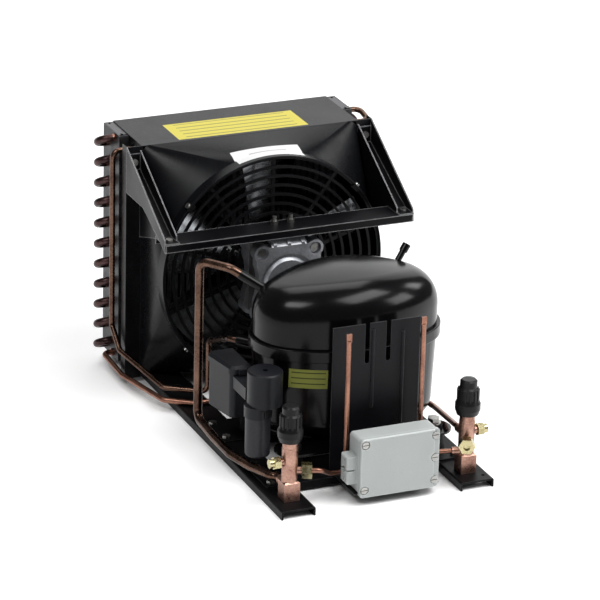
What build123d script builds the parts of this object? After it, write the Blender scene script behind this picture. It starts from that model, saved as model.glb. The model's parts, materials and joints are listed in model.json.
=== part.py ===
from build123d import *
from math import cos, hypot, radians, sin, sqrt
import os

# Air-cooled refrigeration condensing unit: hermetic compressor, finned condenser, fan, valves, base.
# Millimetres, +Z up, +X to the right seen from the valve end, +Y towards the condenser.
# The origin is on the floor, under the middle of the base rails.

# ---- base ------------------------------------------------------------------------------------
rail_length = 496.0
rail_width = 39.5
rail_height = 10.0
rail_centre_x = 106.0
sheet = 2.0                      # thickness of the base's sheet steel
base_hole_radius = 4.5
base_hole_from_front = 129.0     # every "from_front" is measured back from the rails' front ends
base_hole_spacing_y = 226.0
earth_hole_radius = 2.2
member_overlap = 12.0            # how far a cross member lies on each rail, past the rail's centre
member_depth = 58.0
member_lip = 7.0
front_member_from_front = 60.0
rear_member_from_front = 187.0
frame_bolt_radius = 2.5
frame_bolt_inset = 9.0
frame_bolt_x = 110.0
bolt_clearance = 0.3

# ---- compressor ------------------------------------------------------------------------------
compressor_x = 11.0
compressor_from_front = 153.0
shell_half_length = 107.0
shell_half_width = 70.0
shell_end_radius = 52.0
shell_wall = 3.0
shell_bottom_z = 36.5
seam_z = 141.0
shell_top_z = 217.0
crown_radius = 330.0
shoulder_radius = 40.0
bottom_radius = 22.0
lower_taper = 2.5                # degrees that the lower shell draws in towards its bottom
band_thickness = 4.0
band_below = 7.0
band_above = 7.0
foot_spacing_x = 170.0
foot_spacing_y = 116.0
foot_width = 40.0
foot_thickness = 2.5
grommet_radius = 13.0
grommet_waist_radius = 8.5
grommet_bore_radius = 5.2
foot_bolt_radius = 4.0
foot_bolt_nut = 6.0
grommet_collar = 4.5
suction_stub_radius = 5.5
discharge_stub_radius = 4.4
process_tube_radius = 3.6

# ---- compressor, inside ----------------------------------------------------------------------
stator_radius = 50.0
stator_z = 62.0
stator_height = 46.0
rotor_radius = 27.0
air_gap = 0.5
crankshaft_radius = 8.0
running_clearance = 0.05
block_thickness = 12.0
bearing_radius = 16.0
cylinder_radius = 23.0
cylinder_bore_radius = 14.0
crank_throw = 8.0
crank_pin_radius = 6.0
cylinder_start = 34.0            # along X from the crankshaft's axis
cylinder_end = 70.0
head_thickness = 10.0
piston_reach = 27.0              # from the crank pin to the open end of the piston
piston_length = 26.0
piston_crown = 8.0
spring_radius = 7.0
spring_wire = 1.6
spring_turns = 4

# ---- electrical box and capacitor on the compressor's end --------------------------------------
relay_length = 52.0
relay_width = 34.0
relay_taper = 9.0                # how much nearer the shell the outer wall is at its front end
relay_corner = 7.0
relay_lid_lap = 1.5
relay_height = 62.0
relay_top_z = 116.0
relay_lid_height = 9.0
relay_wall = 2.0
relay_gap = 1.0                  # between the box and the shell's end
fence_reach = 6.0
fence_wall = 2.0
fence_inset = 8.0
capacitor_cover_radius = 19.5
capacitor_cover_height = 39.0
capacitor_cover_wall = 2.0
capacitor_web_height = 14.0      # web that ties the cover to the relay box
capacitor_cover_top_z = 130.0
capacitor_cover_x = -104.0
capacitor_x = -111.5
capacitor_from_front = 104.0
capacitor_radius = 14.0
capacitor_bottom_z = 31.0
clip_height = 13.0               # slotted collar under the cover that grips the capacitor
clip_wall = 1.5
clip_slots = 3
clip_slot_width = 3.0

# ---- condenser coil --------------------------------------------------------------------------
tube_pitch = 25.0
tube_radius = 4.5
tubes_high = 11
lowest_tube_z = 32.5             # lowest regular tube of the front row
outlet_tube_z = 17.0
front_row_from_front = 460.0
coil_half_length = 145.0
tube_sheet = 1.5
fin_groove = 4.0
fin_count = 36
fin_groove_width = 3.0
coil_plate_flange = 12.0
coil_plate_standoff = 5.0
tube_stub = 3.0                  # how far the straight tubes stand out of the tube sheets

# ---- fan hood --------------------------------------------------------------------------------
hood_half_width = 133.5
hood_top_z = 290.0
hood_front_from_front = 403.0
hood_rear_from_front = 495.0
hood_sheet = 1.2
hood_corner = 12.0
collar_radius = 135.0
collar_front_from_front = 330.0
collar_length = 16.0
collar_corner_angle = 50.0       # share of the collar that each corner of the hood runs into
header_hole_radius = 5.0
flange_reach = 18.5              # side flange, out from the hood's side wall
flange_return = 13.0
flange_bottom_z = 6.0
fan_z = 151.0

# ---- fan, guard, motor -----------------------------------------------------------------------
guard_from_front = 334.0
guard_ring_count = 8
guard_ring_width = 3.2
guard_ring_depth = 2.0
guard_rib_count = 10
guard_rib_width = 4.0
guard_rib_depth = 3.0
guard_hub_radius = 46.0
guard_hub_width = 8.0
guard_screw_radius = 1.6
fan_radius = 125.0
fan_hub_radius = 28.0
fan_hub_depth = 20.0
fan_blades = 5
fan_blade_thickness = 1.6
fan_blade_camber = 0.07          # rise of a blade's arch, as a share of its chord
fan_blade_stations = (           # chord, pitch in degrees from the wheel's plane, and radius
    (40.0, 42.0, 22.0),
    (78.0, 34.0, 76.0),
    (106.0, 25.0, 132.0),
)
fan_rest_angle = 157.0
fan_boss_radius = 10.0
fan_from_front = 368.0
motor_front_from_front = 285.0
motor_half_width = 39.0
motor_half_height = 44.0
motor_lobe_x = 32.0
motor_lobe_z = 37.0
motor_lobe_radius = 10.0
motor_head_recess_radius = 7.2
motor_head_recess_depth = 5.0
motor_head_radius = 4.8
motor_head_height = 2.5
end_shield_depth = 13.0
motor_stack_depth = 20.0
motor_rotor_radius = 21.0
motor_shaft_radius = 4.0
motor_waist_radius = 60.0
motor_recess_radius = 34.0       # round recess in the front end bell
motor_recess_depth = 4.0
motor_dome_radius = 29.0
motor_shaft_start = 3.0          # front end of the shaft, behind the bell's face
motor_slope_depth = 14.0         # sloped top of the front bell, from its face back to the foot
motor_foot_thickness = 4.0
motor_foot_rib_width = 4.0
motor_foot_rib_rise = 2.5
motor_foot_rib_pitch = 17.0
motor_bolt_radius = 2.4

# ---- arms and cross bar ----------------------------------------------------------------------
bar_front_from_front = 281.0
bar_depth = 34.0
bar_top_z = 215.0
bar_lip = 9.0
bar_sheet = 2.0
arm_sheet = 1.5
arm_inner_x = 134.0
arm_front_z = 221.0
arm_floor_z = 262.0
arm_gusset_z = 236.0
arm_web_front_z = 208.0          # lower edge of the inner web, just behind the bar
arm_web_rear_z = 180.0
arm_web_inset = 9.0              # front edge of the inner web, behind the bar's front
arm_knee_from_front = 303.0
arm_screw_x = 143.0
arm_screw_z = 272.0
arm_screw_radius = 2.0
arm_screw_head_radius = 4.0
bar_screw_from_front = 291.0
motor_foot_bolt_spacing = 20.0
motor_foot_bolt_from_front = 306.0

# ---- service valves --------------------------------------------------------------------------
valve_x = 105.0
valve_from_front = 30.0
valve_bolt_radius = 3.0
valve_block_half = 9.0           # square foot of the forging
valve_block_top_z = 32.0
valve_body_radius = 8.8
valve_body_top_z = 70.0
valve_neck_radius = 8.4
valve_neck_top_z = 84.0
valve_spindle_radius = 4.0
valve_spindle_top_z = 104.0
valve_cap_bottom_z = 78.0
valve_cap_top_z = 119.0
valve_port_radius = 4.2
valve_port_bore_radius = 2.0
port_cap_across_flats = 12.5
port_cap_end_radius = 5.0
valve_nut_across_flats = 16.0
suction_port_z = 54.0
suction_gauge_z = 43.0
liquid_port_z = 57.0
liquid_gauge_z = 48.0
port_length = 20.0
port_cap_start = 12.0
nut_seat = 13.0
nut_end = 24.0
socket_seat = 10.0
socket_end = 20.0
tap_socket_seat = 12.0
tap_socket_end = 16.0
spindle_seat_z = 46.0
spindle_square = 5.6
cap_skirt_radius = 14.0
cap_waist_radius = 11.5
cap_crown_radius = 9.5
cap_ribs = 14
cap_rib_height = 0.9
spindle_clearance = 1.5
socket_wall = 1.8
pipe_gap = 0.3

# ---- pipework --------------------------------------------------------------------------------
suction_pipe_radius = 5.0
discharge_pipe_radius = 3.2
liquid_pipe_radius = 3.2
tap_tube_radius = 2.7
header_from_front = 432.0
header_cross_z = 277.0
header_clearance = 9.5           # from the ends of the straight tubes out to the upright pipes
header_side_step = 4.0           # how much further out the right upright stands
suction_pipe_z = 24.0
suction_low_z = 20.0
suction_arch_z = 209.0
suction_bend = 13.0
discharge_bend = 9.0
liquid_bend = 7.0
liquid_entry_z = 53.0
liquid_low_z = 14.0
liquid_cross_from_front = 293.0
low_tap_x = -34.0
low_tap_top_z = 178.0
high_tap_x = 54.0
high_tap_z = 34.0
high_tap_top_z = 186.0
tap_from_front = 42.0
tap_bend = 7.0
pinch_length = 9.0

# ---- control bracket and junction box ----------------------------------------------------------
bracket_from_front = 68.0
bracket_left_x = -41.0
bracket_right_x = 62.5
bracket_top_z = 183.5
bracket_sheet = 1.5
bracket_slot_xs = (0.0, 25.0)
bracket_slot_width = 5.5
bracket_slot_depth = 44.0
bracket_rib_radius = 2.2
bracket_ribs = ((6.5, 85.0, 176.0), (42.0, 60.0, 170.0))      # x, and the z where each rib starts and ends
bracket_screw_xs = (-20.0, 45.0)
box_width = 94.0
box_height = 64.0
box_depth = 30.0
box_left_x = -34.4
box_front_from_front = 1.0
box_wall = 2.5
lid_depth = 6.0
lid_below = 3.5                  # how far the lid laps below the box
lid_above = 1.5
lid_strip = 7.0                  # lower strip down the lid's right edge
lid_recess = 2.5
lid_screw_head_radius = 4.0
lid_screw_head_height = 2.2
lid_screw_reach = 9.0            # how far a lid screw goes into the box
clamp_share = 0.42               # height of the cable entry, as a share of the box's height
lid_screw_radius = 2.0
lid_screw_inset = 5.5
cable_radius = 4.5
terminals = 6
terminal_pitch = 9.0
clamp_width = 12.0
clamp_depth = 17.0
clamp_height = 32.0

# ---- dependent sizes ---------------------------------------------------------------------------


def from_front(distance):
    """Y of a plane that lies this far behind the rails' front ends."""
    return distance - rail_length / 2


compressor_y = from_front(compressor_from_front)
relay_right_x = compressor_x - shell_half_length - relay_gap
relay_left_x = relay_right_x - relay_width
relay_y0 = compressor_y + 1.0
relay_bottom_z = relay_top_z - relay_height
relay_cup_top_z = relay_top_z - relay_lid_height
capacitor_y = from_front(capacitor_from_front)
capacitor_top_z = capacitor_cover_top_z - capacitor_cover_height
rail_inner_x = rail_centre_x - rail_width / 2
member_top_z = rail_height + sheet
foot_z = shell_bottom_z - foot_thickness
washer_z = shell_bottom_z + grommet_collar
row_pitch = tube_pitch * sqrt(3) / 2
front_row_y = from_front(front_row_from_front)
rear_row_y = front_row_y + row_pitch
front_row_zs = [lowest_tube_z + tube_pitch * k for k in range(tubes_high)]
rear_row_zs = [z - tube_pitch / 2 for z in front_row_zs]
hood_bottom_z = rail_height
coil_bottom_z = hood_bottom_z + hood_sheet
coil_top_z = hood_top_z - hood_sheet
coil_front_y = front_row_y - row_pitch / 2
coil_rear_y = rear_row_y + row_pitch / 2
coil_plate_front_y = coil_front_y - coil_plate_standoff
fin_half_length = coil_half_length - tube_sheet
bend_centre_x = coil_half_length + tube_stub
header_x = bend_centre_x + header_clearance
hood_front_y = from_front(hood_front_from_front)
hood_rear_y = from_front(hood_rear_from_front)
collar_front_y = from_front(collar_front_from_front)
collar_rear_y = collar_front_y + collar_length
flange_x = hood_half_width + flange_reach
guard_y = from_front(guard_from_front)
guard_radius = collar_radius - hood_sheet
fan_y = from_front(fan_from_front)
motor_front_y = from_front(motor_front_from_front)
stack_front_y = motor_front_y + end_shield_depth
stack_rear_y = stack_front_y + motor_stack_depth
motor_rear_y = stack_rear_y + end_shield_depth
bar_front_y = from_front(bar_front_from_front)
bar_rear_y = bar_front_y + bar_depth
bar_screw_y = from_front(bar_screw_from_front)
arm_knee_y = from_front(arm_knee_from_front)
foot_bolt_y = from_front(motor_foot_bolt_from_front)
header_y = from_front(header_from_front)
valve_y = from_front(valve_from_front)
tap_y = from_front(tap_from_front)
liquid_cross_y = from_front(liquid_cross_from_front)
motor_foot_rear_y = foot_bolt_y + 6.0
motor_foot_top_z = bar_top_z - bar_sheet
bracket_y = from_front(bracket_from_front)
bracket_foot_top_z = member_top_z + bracket_sheet
box_front_y = from_front(box_front_from_front)
lid_rear_y = box_front_y + lid_depth
box_rear_y = box_front_y + box_depth
box_right_x = box_left_x + box_width
box_middle_y = (lid_rear_y + box_rear_y) / 2
clamp_z = bracket_foot_top_z + box_height * clamp_share
box_top_z = bracket_foot_top_z + box_height
rotor_top_z = stator_z + stator_height
block_z = rotor_top_z + 4.0
crank_pin_z = block_z + block_thickness + 4.0
cylinder_z = crank_pin_z + 7.0

os.makedirs("parts", exist_ok=True)


# ---- shapes used all over ----------------------------------------------------------------------


def block(x0, x1, y0, y1, z0, z1):
    return Pos((x0 + x1) / 2, (y0 + y1) / 2, (z0 + z1) / 2) * Box(x1 - x0, y1 - y0, z1 - z0)


def rod_z(radius, z0, z1, x=0.0, y=0.0):
    return Pos(x, y, (z0 + z1) / 2) * Cylinder(radius, z1 - z0)


def rod_y(radius, y0, y1, x=0.0, z=0.0):
    return Pos(x, (y0 + y1) / 2, z) * Rot(90, 0, 0) * Cylinder(radius, abs(y1 - y0))


def rod_x(radius, x0, x1, y=0.0, z=0.0):
    return Pos((x0 + x1) / 2, y, z) * Rot(0, 90, 0) * Cylinder(radius, abs(x1 - x0))


def rod_between(radius, start, end):
    """A round bar from one point to another."""
    line = Vector(*end) - Vector(*start)
    return extrude(Plane(origin=start, z_dir=line) * Circle(radius), line.length)


def hexagon_between(across_flats, start, end):
    line = Vector(*end) - Vector(*start)
    return extrude(Plane(origin=start, z_dir=line) * RegularPolygon(across_flats / sqrt(3), 6), line.length)


def tube(points, radius, bend):
    """A solid tube along straight runs joined by bends, as a pipe bender makes it."""
    path = FilletPolyline(*points, radius=bend)
    section = Plane(origin=path @ 0, z_dir=path % 0) * Circle(radius)
    return sweep(section, path=path)


def mirrored(shape):
    return mirror(shape, about=Plane.YZ)


def save(name, shape):
    shape.label = name
    export_step(shape, f"parts/{name}.step")


def group(shapes):
    """Identical separate pieces that share a node."""
    solids = [solid for shape in shapes for solid in shape.solids()]
    return Compound(children=solids)


# ---- base --------------------------------------------------------------------------------------


def base_rail(side):
    """Shallow channel, open below, with the floor-fixing holes on its centre line."""
    half = rail_length / 2
    x0 = side * rail_centre_x - rail_width / 2
    x1 = x0 + rail_width
    rail = block(x0, x1, -half, half, 0, rail_height)
    rail = fillet(rail.edges().filter_by(Axis.Y).group_by(Axis.Z)[-1], sheet)
    rail -= block(x0 + sheet, x1 - sheet, -half, half, 0, rail_height - sheet)
    front_y = from_front(base_hole_from_front)
    for y in (front_y, front_y + base_hole_spacing_y):
        rail -= rod_z(base_hole_radius, 0, rail_height, side * rail_centre_x, y)
    if side > 0:
        rail -= rod_z(earth_hole_radius, 0, rail_height, rail_centre_x + 12, from_front(11.5))
    return rail


def cross_member(front):
    """Lipped plate that bridges the rails and carries one end of the compressor."""
    y0 = from_front(front)
    y1 = y0 + member_depth
    reach = rail_centre_x + member_overlap
    inner = rail_inner_x - 2.0
    plate = block(-reach, reach, y0, y1, rail_height, member_top_z)
    for y in (y0, y1 - sheet):
        plate += block(-inner, inner, y, y + sheet, member_top_z - sheet - member_lip, member_top_z - sheet)
    for x, y in foot_places():
        plate -= rod_z(foot_bolt_radius + bolt_clearance, 0, member_top_z, x, y)
    for x, y in frame_bolt_places(front):
        plate -= rod_z(frame_bolt_radius, 0, member_top_z, x, y)
    return plate


def frame_bolt_places(front):
    y0 = from_front(front)
    return [(side * frame_bolt_x, y) for side in (-1, 1)
            for y in (y0 + frame_bolt_inset, y0 + member_depth - frame_bolt_inset)]


def frame_bolts():
    """Hexagon-head screws that hold the cross members down on the rails."""
    bolts = []
    for front in (front_member_from_front, rear_member_from_front):
        for x, y in frame_bolt_places(front):
            head = hexagon_between(8.0, (x, y, member_top_z), (x, y, member_top_z + 3.5))
            bolts.append(head + rod_z(frame_bolt_radius, rail_height - sheet - 2.0, member_top_z, x, y))
    return group(bolts)


def foot_places():
    """Where the compressor's four mounting bolts stand."""
    return [(compressor_x + x, compressor_y + y) for x in (-foot_spacing_x / 2, foot_spacing_x / 2)
            for y in (-foot_spacing_y / 2, foot_spacing_y / 2)]


def over_rail(x):
    return abs(abs(x) - rail_centre_x) < rail_width / 2


for side, name in ((-1, "left_base_rail"), (1, "right_base_rail")):
    rail = base_rail(side)
    for front in (front_member_from_front, rear_member_from_front):
        for x, y in frame_bolt_places(front):
            rail -= rod_z(frame_bolt_radius, 0, rail_height, x, y)
    for x, y in foot_places():
        rail -= rod_z(foot_bolt_radius + bolt_clearance, 0, rail_height, x, y)
    rail -= rod_z(valve_bolt_radius, 0, rail_height, side * valve_x, valve_y)
    rail -= rod_z(arm_screw_radius, 0, rail_height, side * rail_centre_x, hood_front_y + 20)
    save(name, rail)
save("front_cross_member", cross_member(front_member_from_front))
save("rear_cross_member", cross_member(rear_member_from_front))
save("frame_bolts", frame_bolts())


# ---- compressor --------------------------------------------------------------------------------


def oval_plan(half_length, half_width, end_radius):
    """Plan of the shell: two end arcs that run smoothly into two flatter side arcs."""
    end_x = half_length - end_radius
    side_radius = (end_x ** 2 + half_width ** 2 - end_radius ** 2) / (2 * (half_width - end_radius))
    side_y = side_radius - half_width
    reach = side_radius / hypot(end_x, side_y)
    tangent = (end_x * reach, side_y * reach - side_y)
    corners = [(tangent[0], tangent[1]), (-tangent[0], tangent[1]),
               (-tangent[0], -tangent[1]), (tangent[0], -tangent[1])]
    middles = [(0, half_width), (-half_length, 0), (0, -half_width), (half_length, 0)]
    arcs = [ThreePointArc(corners[i], middles[i], corners[(i + 1) % 4]) for i in range(4)]
    return make_face(arcs)


def upper_form(inset):
    """Domed upper half, drawn in by a wall thickness where an inside is wanted."""
    plan = oval_plan(shell_half_length - inset, shell_half_width - inset, shell_end_radius - inset)
    top = shell_top_z - inset
    form = Pos(0, 0, seam_z) * extrude(plan, top - seam_z)
    form &= Pos(0, 0, top - crown_radius) * Sphere(crown_radius)
    rim = [edge for edge in form.edges() if edge.center().Z > seam_z + 20]
    return fillet(rim, shoulder_radius - inset)


def lower_form(inset):
    """Lower half, tapering to a rounded bottom."""
    plan = oval_plan(shell_half_length - inset, shell_half_width - inset, shell_end_radius - inset)
    bottom = shell_bottom_z + inset
    form = Pos(0, 0, seam_z) * extrude(Plane.XY * plan, bottom - seam_z, taper=lower_taper)
    return fillet(form.edges().group_by(Axis.Z)[0], bottom_radius - inset)


def at_compressor(shape):
    return Pos(compressor_x, compressor_y, 0) * shape


def stub_direction(angle, lift):
    return Vector(cos(radians(angle)) * cos(radians(lift)), sin(radians(angle)) * cos(radians(lift)),
                  sin(radians(lift)))


suction_stub_out = stub_direction(146, 28)
suction_stub_root = Vector(-79.1, 28.0, 187.2)          # on the compressor's own axes
suction_stub_tip = suction_stub_root + suction_stub_out * 38
discharge_stub_out = stub_direction(130, 0)
discharge_stub_root = Vector(-84.0, 36.0, 121.0)
discharge_stub_tip = discharge_stub_root + discharge_stub_out * 30
stub_socket = 10.0               # how far a pipe goes into its stub
process_root = Vector(72.0, 30.0, 196.0)
process_tip = process_root + stub_direction(20, 50) * 29


def upper_shell():
    shell = upper_form(0)
    shell += rod_between(suction_stub_radius, suction_stub_root, suction_stub_tip)
    shell -= upper_form(shell_wall)
    pipe_end = suction_stub_tip - suction_stub_out * stub_socket
    shell -= rod_between(suction_pipe_radius, pipe_end, suction_stub_tip)
    process_foot = process_root - (process_tip - process_root).normalized() * 14
    return shell - rod_between(process_tube_radius, process_foot, process_tip)


def terminal_fence(outset):
    """Frame welded round the terminals on the shell's end, which the relay box pushes on to."""
    y0, y1 = relay_y0 + fence_inset, relay_y0 + relay_length - fence_inset
    z0, z1 = relay_bottom_z + fence_inset, relay_cup_top_z - fence_inset
    return block(relay_right_x - fence_reach, -shell_end_radius,
                 y0 - outset, y1 + outset, z0 - outset, z1 + outset)


def lower_shell():
    """Lower half with the overlapping weld band, the terminal fence and the discharge stub."""
    shell = lower_form(0)
    fence = terminal_fence(0) - terminal_fence(-fence_wall)
    shell += Pos(-compressor_x, -compressor_y, 0) * fence
    outside = band_thickness
    band = oval_plan(shell_half_length + outside, shell_half_width + outside, shell_end_radius + outside)
    band = Pos(0, 0, seam_z - band_below) * extrude(band, band_below + band_above)
    band = fillet(band.edges().group_by(Axis.Z)[0] + band.edges().group_by(Axis.Z)[-1], 1.5)
    shell += band
    shell += rod_between(discharge_stub_radius, discharge_stub_root, discharge_stub_tip)
    shell -= lower_form(shell_wall)
    inside = oval_plan(shell_half_length, shell_half_width, shell_end_radius)
    shell -= Pos(0, 0, seam_z) * extrude(inside, band_above + 1)
    pipe_end = discharge_stub_tip - discharge_stub_out * stub_socket
    return shell - rod_between(discharge_pipe_radius, pipe_end, discharge_stub_tip)


def process_tube():
    """Charging tube, pinched shut and plugged."""
    foot = process_root - (process_tip - process_root).normalized() * 14
    stem = rod_between(process_tube_radius, foot, process_tip)
    plug_start = process_tip - (process_tip - process_root).normalized() * 9
    return stem + rod_between(process_tube_radius + 1.2, plug_start, process_tip)


def feet():
    """Two pressed plates under the shell, each with two grommet holes."""
    plates = []
    for y in (-foot_spacing_y / 2, foot_spacing_y / 2):
        plan = SlotOverall(foot_spacing_x + foot_width, foot_width)
        for x in (-foot_spacing_x / 2, foot_spacing_x / 2):
            plan -= Pos(x, 0) * Circle(grommet_waist_radius)
        plates.append(Pos(0, y, foot_z) * extrude(plan, foot_thickness))
    return group(plates)


def grommets():
    """Waisted rubber mounts that hold each foot between two shoulders."""
    profile = Polyline((grommet_bore_radius, member_top_z), (grommet_radius, member_top_z),
                       (grommet_radius - 1.5, foot_z), (grommet_waist_radius, foot_z),
                       (grommet_waist_radius, shell_bottom_z), (grommet_waist_radius + 2, shell_bottom_z),
                       (grommet_waist_radius + 1.5, washer_z), (grommet_bore_radius, washer_z), close=True)
    one = revolve(make_face(Plane.XZ * profile), Axis.Z)
    return group([Pos(x, y, 0) * one for x, y in foot_places()])


def foot_bolt(x, y):
    """Bolt with its washer, and its nut under the sheet that it clamps."""
    nut_z = rail_height - sheet if over_rail(x) else rail_height
    bolt = rod_z(foot_bolt_radius, nut_z - foot_bolt_nut, washer_z + 6, x, y)
    bolt += rod_z(foot_bolt_radius + 4.5, washer_z, washer_z + 1.6, x, y)
    bolt += hexagon_between(12.0, (x, y, washer_z + 1.6), (x, y, washer_z + 7))
    return bolt + hexagon_between(12.0, (x, y, nut_z - foot_bolt_nut), (x, y, nut_z))


def stator():
    """Laminated stator with its two end windings."""
    core = rod_z(stator_radius, stator_z + 8, rotor_top_z - 8)
    winding = rod_z(stator_radius - 8, stator_z, rotor_top_z)
    return core + winding - rod_z(rotor_radius + air_gap, stator_z - 1, rotor_top_z + 1)


def rotor():
    body = rod_z(rotor_radius, stator_z + 2, rotor_top_z - 2)
    return body - rod_z(crankshaft_radius, stator_z, rotor_top_z)


def crankshaft():
    """Shaft pressed into the rotor, with the crank pin above the bearing."""
    shaft = rod_z(crankshaft_radius, stator_z + 2, crank_pin_z - 3)
    web = rod_z(crankshaft_radius + crank_throw, crank_pin_z - 3, crank_pin_z, crank_throw / 2)
    return shaft + web + rod_z(crank_pin_radius, crank_pin_z, cylinder_z + 6, crank_throw)


def cylinder_block():
    """Casting with the main bearing and the horizontal cylinder, closed by its head, over the stator."""
    body = rod_z(stator_radius + 4, block_z, block_z + block_thickness)
    body += rod_z(bearing_radius, block_z - 3, block_z)
    body += rod_x(cylinder_radius, cylinder_start, cylinder_end, 0, cylinder_z)
    body += block(cylinder_start, cylinder_end, -12, 12, block_z, cylinder_z)
    for angle in (45, 135, 225, 315):
        leg = (stator_radius - 2) * cos(radians(angle)), (stator_radius - 2) * sin(radians(angle))
        body += rod_z(5, rotor_top_z - 8, block_z + 1, *leg)
    body -= rod_z(crankshaft_radius + running_clearance, block_z - 4, crank_pin_z - 3.2)
    head_half = cylinder_radius - 3
    body += block(cylinder_end, cylinder_end + head_thickness, -head_half, head_half,
                  cylinder_z - head_half, cylinder_z + head_half)
    return body - rod_x(cylinder_bore_radius, cylinder_start - 1, cylinder_end, 0, cylinder_z)


def piston():
    """Trunk piston at mid stroke, hollow towards the crank."""
    start = crank_throw + piston_reach
    end = start + piston_length
    body = rod_x(cylinder_bore_radius - running_clearance, start, end, 0, cylinder_z)
    body -= rod_x(cylinder_bore_radius - 3, start - 1, end - piston_crown, 0, cylinder_z)
    return body


def connecting_rod():
    """Rod from the crank pin to the inside of the piston crown."""
    big_end = rod_z(crank_pin_radius + 4, cylinder_z - 4, cylinder_z + 4, crank_throw)
    reach = crank_throw + piston_reach + piston_length - piston_crown
    beam = block(crank_throw, reach, -3.5, 3.5, cylinder_z - 3, cylinder_z + 3)
    pin_hole = rod_z(crank_pin_radius + running_clearance, cylinder_z - 5, cylinder_z + 5, crank_throw)
    return big_end + beam - pin_hole


def support_springs():
    """Four coil springs between the shell's bottom and the stator."""
    seat = shell_bottom_z + shell_wall + pipe_gap
    lift = seat + spring_wire
    pitch = (stator_z - pipe_gap - seat - 2 * spring_wire) / spring_turns
    path = Helix(pitch=pitch, height=pitch * spring_turns, radius=spring_radius)
    coil = sweep(Plane(origin=path @ 0, z_dir=path % 0) * RegularPolygon(spring_wire, 6), path=path)
    place = stator_radius - spring_radius - 4
    return group([Pos(place * cos(radians(a)), place * sin(radians(a)), lift) * coil
                  for a in (45, 135, 225, 315)])


save("compressor_upper_shell", at_compressor(upper_shell()))
save("compressor_lower_shell", at_compressor(lower_shell()))
save("process_tube", at_compressor(process_tube()))
save("compressor_feet", at_compressor(feet()))
save("compressor_grommets", grommets())
save("compressor_foot_bolts", group([foot_bolt(x, y) for x, y in foot_places()]))
save("compressor_stator", at_compressor(stator()))
save("compressor_rotor", at_compressor(rotor()))
save("crankshaft", at_compressor(crankshaft()))
save("cylinder_block", at_compressor(cylinder_block()))
save("piston", at_compressor(piston()))
save("connecting_rod", at_compressor(connecting_rod()))
save("support_springs", at_compressor(support_springs()))


# ---- relay box and capacitor -------------------------------------------------------------------

def relay_plan(outset, right_x, corner):
    """Plan of the relay box, whose outer wall slants in towards the capacitor."""
    y0, y1 = relay_y0 - outset, relay_y0 + relay_length + outset
    plan = make_face(Polyline((right_x, y0), (relay_left_x + relay_taper - outset, y0),
                              (relay_left_x - outset, y1), (right_x, y1), close=True))
    return fillet(plan.vertices().sort_by(Axis.X)[:2], corner)


def relay_box():
    """Deep cup that covers the compressor's terminals, open at the top under its lid."""
    plan = relay_plan(0, relay_right_x, relay_corner)
    body = Pos(0, 0, relay_bottom_z) * extrude(plan, relay_cup_top_z - relay_bottom_z)
    foot = [edge for edge in body.edges().group_by(Axis.Z)[0] if edge.center().X < relay_right_x - 1]
    body = chamfer(foot, 1.5)
    inside = relay_plan(-relay_wall, relay_right_x - relay_wall, relay_corner - relay_wall)
    floor_z = relay_bottom_z + relay_wall
    body -= Pos(0, 0, floor_z) * extrude(inside, relay_cup_top_z - floor_z)
    return body - terminal_fence(0)


def relay_lid():
    """Cap with a stepped rim that laps over the box."""
    plan = relay_plan(relay_lid_lap, relay_right_x - 1, relay_corner + 1)
    lid = Pos(0, 0, relay_cup_top_z) * extrude(plan, relay_lid_height)
    lid = chamfer(lid.edges().group_by(Axis.Z)[-1], 3)
    latch_x = relay_left_x + relay_taper + relay_corner
    latch = block(latch_x, latch_x + 9, relay_y0 - 5, relay_y0 - relay_lid_lap,
                  relay_cup_top_z, relay_top_z - 3)
    return lid + latch


def capacitor_cover():
    """Round cap over the capacitor's terminals, with a slotted clip below and a web to the relay box."""
    top, low = capacitor_cover_top_z, capacitor_top_z
    cover = rod_z(capacitor_cover_radius, low, top, capacitor_cover_x, capacitor_y)
    cover = chamfer(cover.edges().group_by(Axis.Z)[-1], 1.5)
    cover -= rod_z(capacitor_cover_radius - capacitor_cover_wall, low + capacitor_cover_wall,
                   top - capacitor_cover_wall, capacitor_cover_x, capacitor_y)
    cover += block(capacitor_x - 9, capacitor_x + 7, capacitor_y + capacitor_cover_radius - 5, relay_y0,
                   low, low + capacitor_web_height)
    cover += rod_z(capacitor_radius + clip_wall, low - clip_height, low, capacitor_x, capacitor_y)
    cover -= rod_z(capacitor_radius + running_clearance, low - clip_height, low, capacitor_x, capacitor_y)
    for k in range(clip_slots):
        slot = block(0, capacitor_radius + 5, -clip_slot_width / 2, clip_slot_width / 2,
                     low - clip_height, low - 3)
        cover -= Pos(capacitor_x, capacitor_y, 0) * Rot(0, 0, 360 / clip_slots * k - 90) * slot
    cover -= rod_z(capacitor_radius - 4, low, low + capacitor_cover_wall, capacitor_x, capacitor_y)
    return cover - rod_z(3.0, top - capacitor_cover_wall, top, capacitor_cover_x, capacitor_y)


def capacitor():
    """Aluminium can in a plastic sleeve, pushed up into its clip."""
    can = rod_z(capacitor_radius, capacitor_bottom_z, capacitor_top_z, capacitor_x, capacitor_y)
    return fillet(can.edges().group_by(Axis.Z)[0], 4)


save("relay_box", relay_box())
save("relay_box_lid", relay_lid())
save("capacitor_cover", capacitor_cover())
save("capacitor", capacitor())


# ---- condenser coil ----------------------------------------------------------------------------


def tube_places():
    """Y and Z of every straight tube, with the outlet tube last."""
    front = [(front_row_y, z) for z in front_row_zs]
    rear = [(rear_row_y, z) for z in rear_row_zs]
    return front + rear + [(front_row_y, outlet_tube_z)]


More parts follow.
